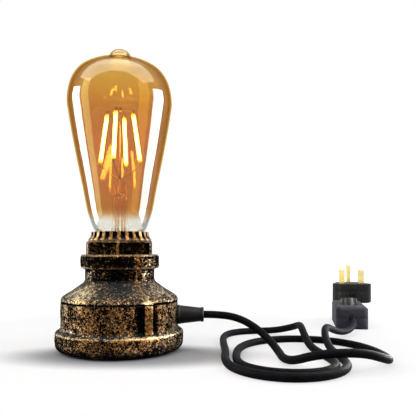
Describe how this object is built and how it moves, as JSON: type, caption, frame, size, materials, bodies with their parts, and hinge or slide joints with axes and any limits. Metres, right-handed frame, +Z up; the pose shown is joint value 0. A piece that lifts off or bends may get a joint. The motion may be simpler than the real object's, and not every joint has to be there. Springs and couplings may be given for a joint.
{
  "type": "industrial pipe table lamp",
  "caption": "Table lamp made from a cast pipe reducer with a hex bushing, holding a tinted filament bulb, with a cord, in-line rocker switch and mains plug.",
  "frame": {"origin": "on the floor under the lamp's axis, at the middle of the foot pad", "axes": "+Z up along the bulb's axis; the cord gland points along +X"},
  "size_m": [0.2854, 0.404, 0.1857],
  "materials": {
    "cast_base": "black cast-iron paint with dry-brushed bronze flecks",
    "cast_fittings": "black with bronze-rubbed edges",
    "zinc_steel": "black zinc plate",
    "foot_rubber": "matt moulded rubber",
    "steel_screws": "zinc-plated",
    "holder_moulding": "phenolic moulding",
    "brass_contacts": "stamped brass",
    "pin_brass": "polished brass",
    "tinted_glass": "amber-coated soda glass",
    "clear_glass": "clear glass",
    "nickel_wire": "nickel-plated wire",
    "led_phosphor": "silicone phosphor coating",
    "cap_metal": "nickel-plated",
    "cap_vitrite": "black vitrite",
    "circuit_board": "glass-epoxy board",
    "gland_moulding": "black nylon",
    "cord_jacket": "black extruded PVC",
    "brown_core": "PVC core",
    "blue_core": "PVC core",
    "wiring": "PVC cores",
    "switch_moulding": "dark slate moulding",
    "rocker_moulding": "dark slate moulding",
    "spring_steel": "spring wire",
    "plug_moulding": "black urea moulding",
    "grip_fibre": "vulcanised fibre",
    "fuse_body": "ceramic tube with plated caps"
  },
  "bodies": {
    "base": {"base_casting": "cast_base", "hex_bushing": "cast_fittings", "fluted_ring": "cast_fittings", "base_cover_plate": "zinc_steel", "foot_pad": "foot_rubber", "cover_plate_screws": "steel_screws", "holder_terminal_screws": "steel_screws", "switch_terminal_screws": "steel_screws", "switch_case_screws": "steel_screws", "plug_cover_screw": "steel_screws", "cord_grip_screws": "steel_screws", "plug_terminal_screws": "steel_screws", "holder_body": "holder_moulding", "holder_terminal_block": "holder_moulding", "holder_screw_shell": "brass_contacts", "holder_centre_contact": "brass_contacts", "holder_rivets": "brass_contacts", "holder_terminals": "brass_contacts", "switch_live_contacts": "brass_contacts", "switch_neutral_link": "brass_contacts", "fuse_clips": "brass_contacts", "earth_pin": "pin_brass", "live_pin": "pin_brass", "neutral_pin": "pin_brass", "cord_gland": "gland_moulding", "gland_locknut": "gland_moulding", "cord_sheath_end": "cord_jacket", "lamp_lead": "cord_jacket", "plug_lead": "cord_jacket", "switch_cord_ends": "cord_jacket", "plug_cord_end": "cord_jacket", "live_core": "brown_core", "neutral_core": "blue_core", "switch_cores": "wiring", "plug_cores": "wiring", "switch_lower_case": "switch_moulding", "switch_upper_case": "switch_moulding", "plug_base": "plug_moulding", "plug_cover": "plug_moulding", "plug_cord_guard": "plug_moulding", "cord_grip_bar": "grip_fibre", "plug_fuse": "fuse_body"},
    "bulb": {"bulb_glass": "tinted_glass", "bulb_stem": "clear_glass", "lead_in_wires": "nickel_wire", "filament_supports": "nickel_wire", "led_filaments": "led_phosphor", "bulb_cap": "cap_metal", "cap_contact": "cap_metal", "cap_insulator": "cap_vitrite", "led_driver": "circuit_board"},
    "rocker": {"switch_rocker": "rocker_moulding", "rocker_plunger": "rocker_moulding", "plunger_spring": "spring_steel"},
    "seesaw": {"switch_seesaw": "brass_contacts"}
  },
  "joints": [
    {"name": "bulb_lift", "type": "slide", "parent": "base", "child": "bulb", "axis": [0, 0, 1], "range_m": [0, 0.045]},
    {"name": "rocker_tilt", "type": "hinge", "parent": "base", "child": "rocker", "pos_m": [0.1716, 0.1077, 0.014], "axis": [-0.9848, 0.1736, 0], "range_deg": [-22, 0]},
    {"name": "seesaw_tilt", "type": "hinge", "parent": "base", "child": "seesaw", "pos_m": [0.1716, 0.1077, 0.0079], "axis": [-0.9848, 0.1736, 0], "range_deg": [0, 10]}
  ],
  "couplings": [
    {"joint": "seesaw_tilt", "follows": "rocker_tilt", "ratio": -0.4545}
  ]
}
